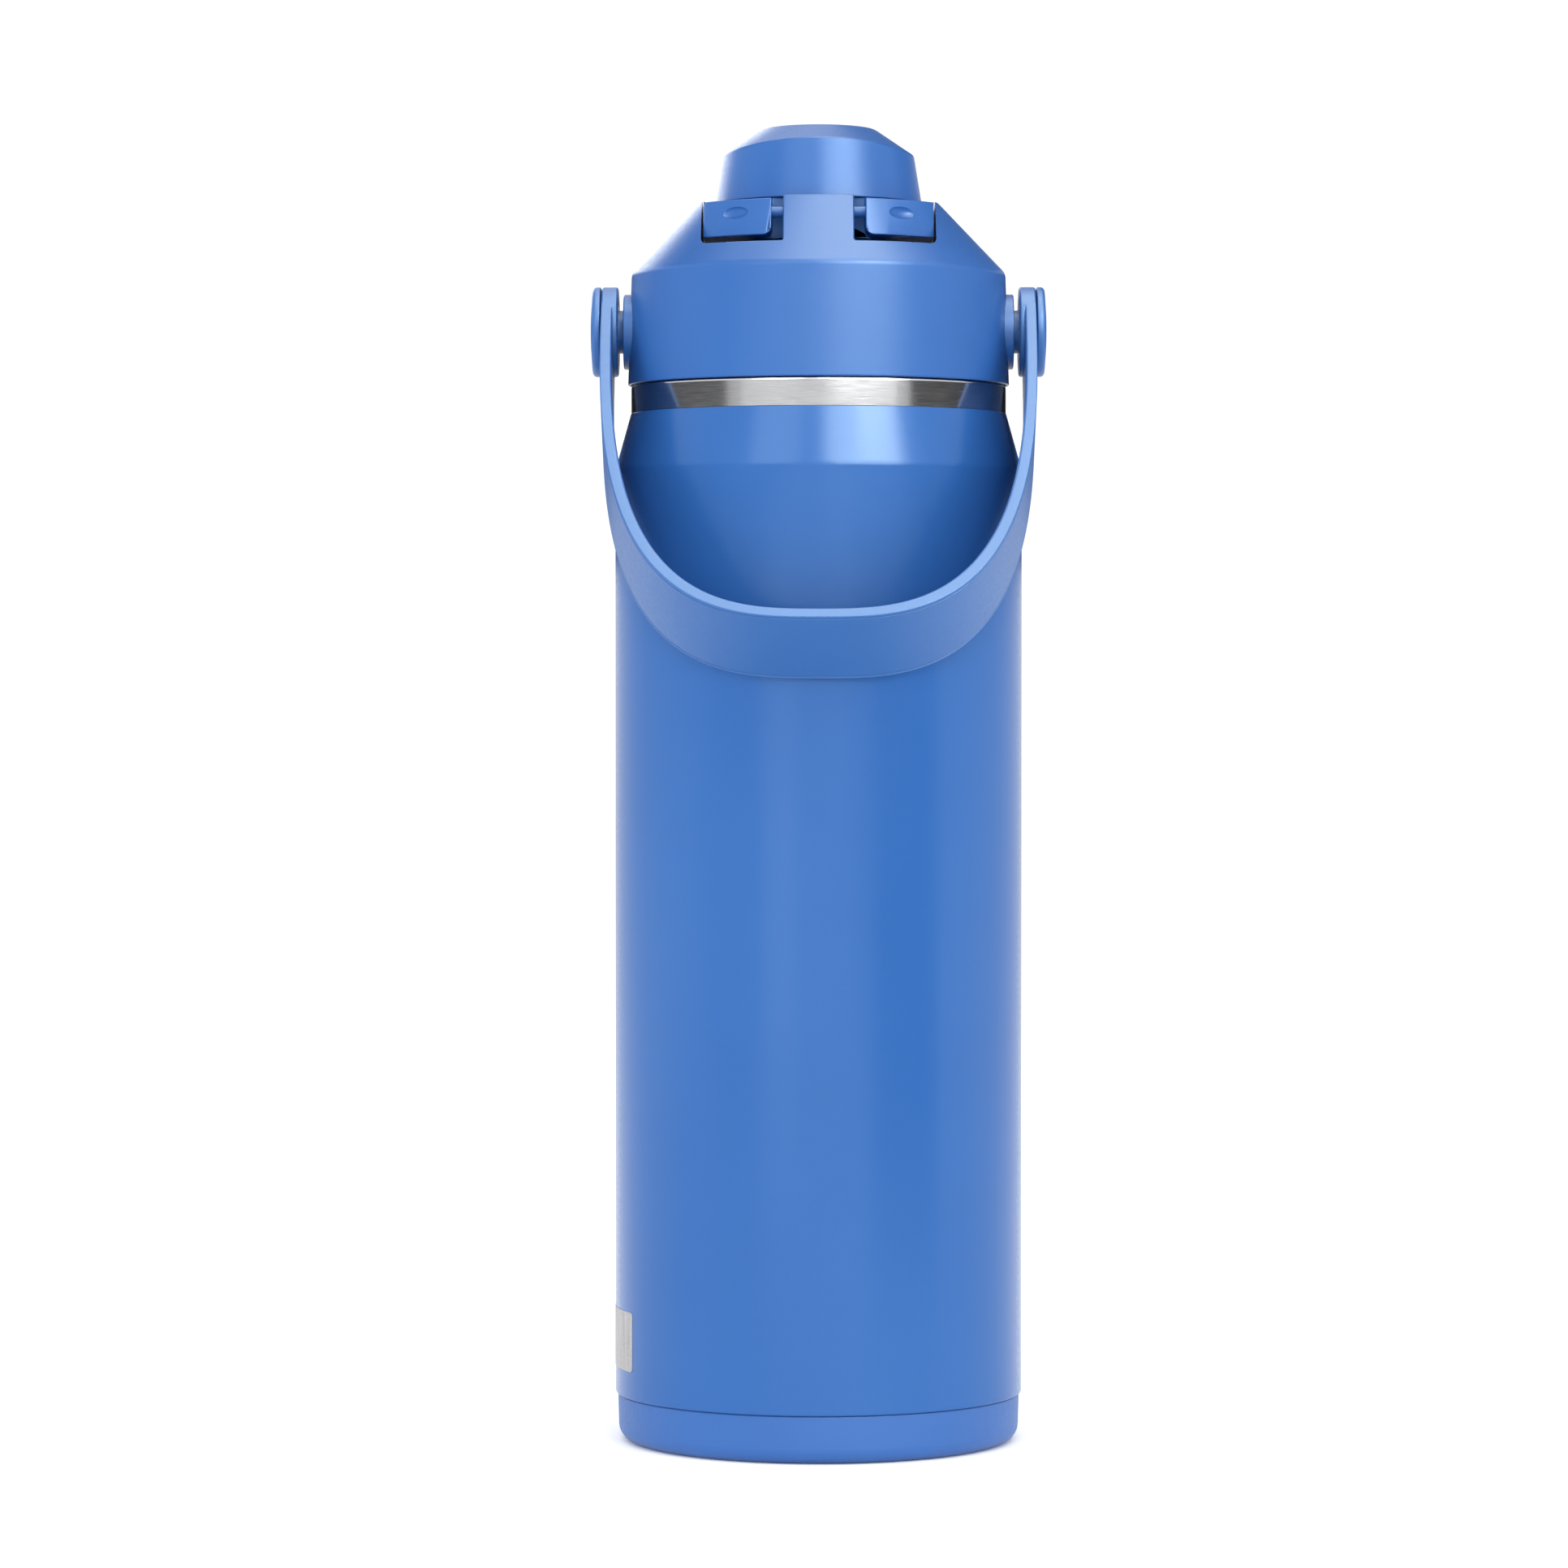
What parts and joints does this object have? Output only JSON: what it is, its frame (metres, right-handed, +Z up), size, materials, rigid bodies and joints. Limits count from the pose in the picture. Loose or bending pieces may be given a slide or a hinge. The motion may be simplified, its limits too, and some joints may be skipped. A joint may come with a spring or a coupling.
{
  "type": "insulated drinking jug",
  "caption": "Tall double-walled steel drinking jug with a screw lid, a flip-up cap over a wide spout, a swinging strap handle and a soft base boot.",
  "frame": {"origin": "centre of the flat underside of the base boot, on the surface the jug stands on", "axes": "+Z up along the jug's axis; the cap's hinge and the hanging handle are on the -Y side; the handle's pivots lie along X"},
  "size_m": [0.0996, 0.1075, 0.287],
  "materials": {
    "body_paint": "satin powder coat",
    "bare_steel": "brushed",
    "liner_steel": "electropolished",
    "boot_silicone": "matte silicone",
    "lid_plastic": "fine matte moulding",
    "cap_plastic": "fine matte moulding",
    "handle_plastic": "soft-touch matte",
    "inner_plastic": "natural moulding",
    "seal_silicone": "translucent silicone",
    "foam": "closed-cell foam",
    "magnet": "nickel plated",
    "getter_metal": "sintered",
    "patch_print": "grey metallic print"
  },
  "bodies": {
    "bottle": {"outer_shell": "body_paint", "neck_band": "bare_steel", "inner_liner": "liner_steel", "base_disc": "liner_steel", "vacuum_plug": "getter_metal", "getter": "getter_metal", "base_boot": "boot_silicone", "side_patch": "patch_print"},
    "lid_seal": {"lid_gasket": "seal_silicone"},
    "lid": {"lid_shell": "lid_plastic", "lid_plug": "inner_plastic", "lid_insulation": "foam", "spout": "lid_plastic", "spout_seal": "seal_silicone", "deck_magnet": "magnet", "hinge_pin": "lid_plastic", "axle_left": "lid_plastic", "axle_right": "lid_plastic", "axle_cap_left": "handle_plastic", "axle_cap_right": "handle_plastic"},
    "cap": {"cap_yoke": "cap_plastic", "cap_shell": "cap_plastic", "cap_liner": "cap_plastic", "cap_gasket": "seal_silicone", "yoke_magnet": "magnet"},
    "handle": {"handle_strap": "handle_plastic", "bush_left": "inner_plastic", "bush_right": "inner_plastic"}
  },
  "joints": [
    {"name": "lid_lift", "type": "slide", "parent": "bottle", "child": "lid_seal", "axis": [0, 0, 1], "range_m": [0, 0.01]},
    {"name": "lid_turn", "type": "hinge", "parent": "lid_seal", "child": "lid", "pos_m": [0, 0, 0.2313], "axis": [0, 0, 1], "range_deg": [0, 720]},
    {"name": "cap_flip", "type": "hinge", "parent": "lid", "child": "cap", "pos_m": [0, -0.0255, 0.2668], "axis": [1, 0, 0], "range_deg": [0, 125]},
    {"name": "handle_swing", "type": "hinge", "parent": "lid", "child": "handle", "pos_m": [0, 0, 0.2427], "axis": [-1, 0, 0], "range_deg": [0, 283.6]}
  ],
  "couplings": [
    {"joint": "lid_lift", "follows": "lid_turn", "m_per_rad": 0.00079577}
  ]
}
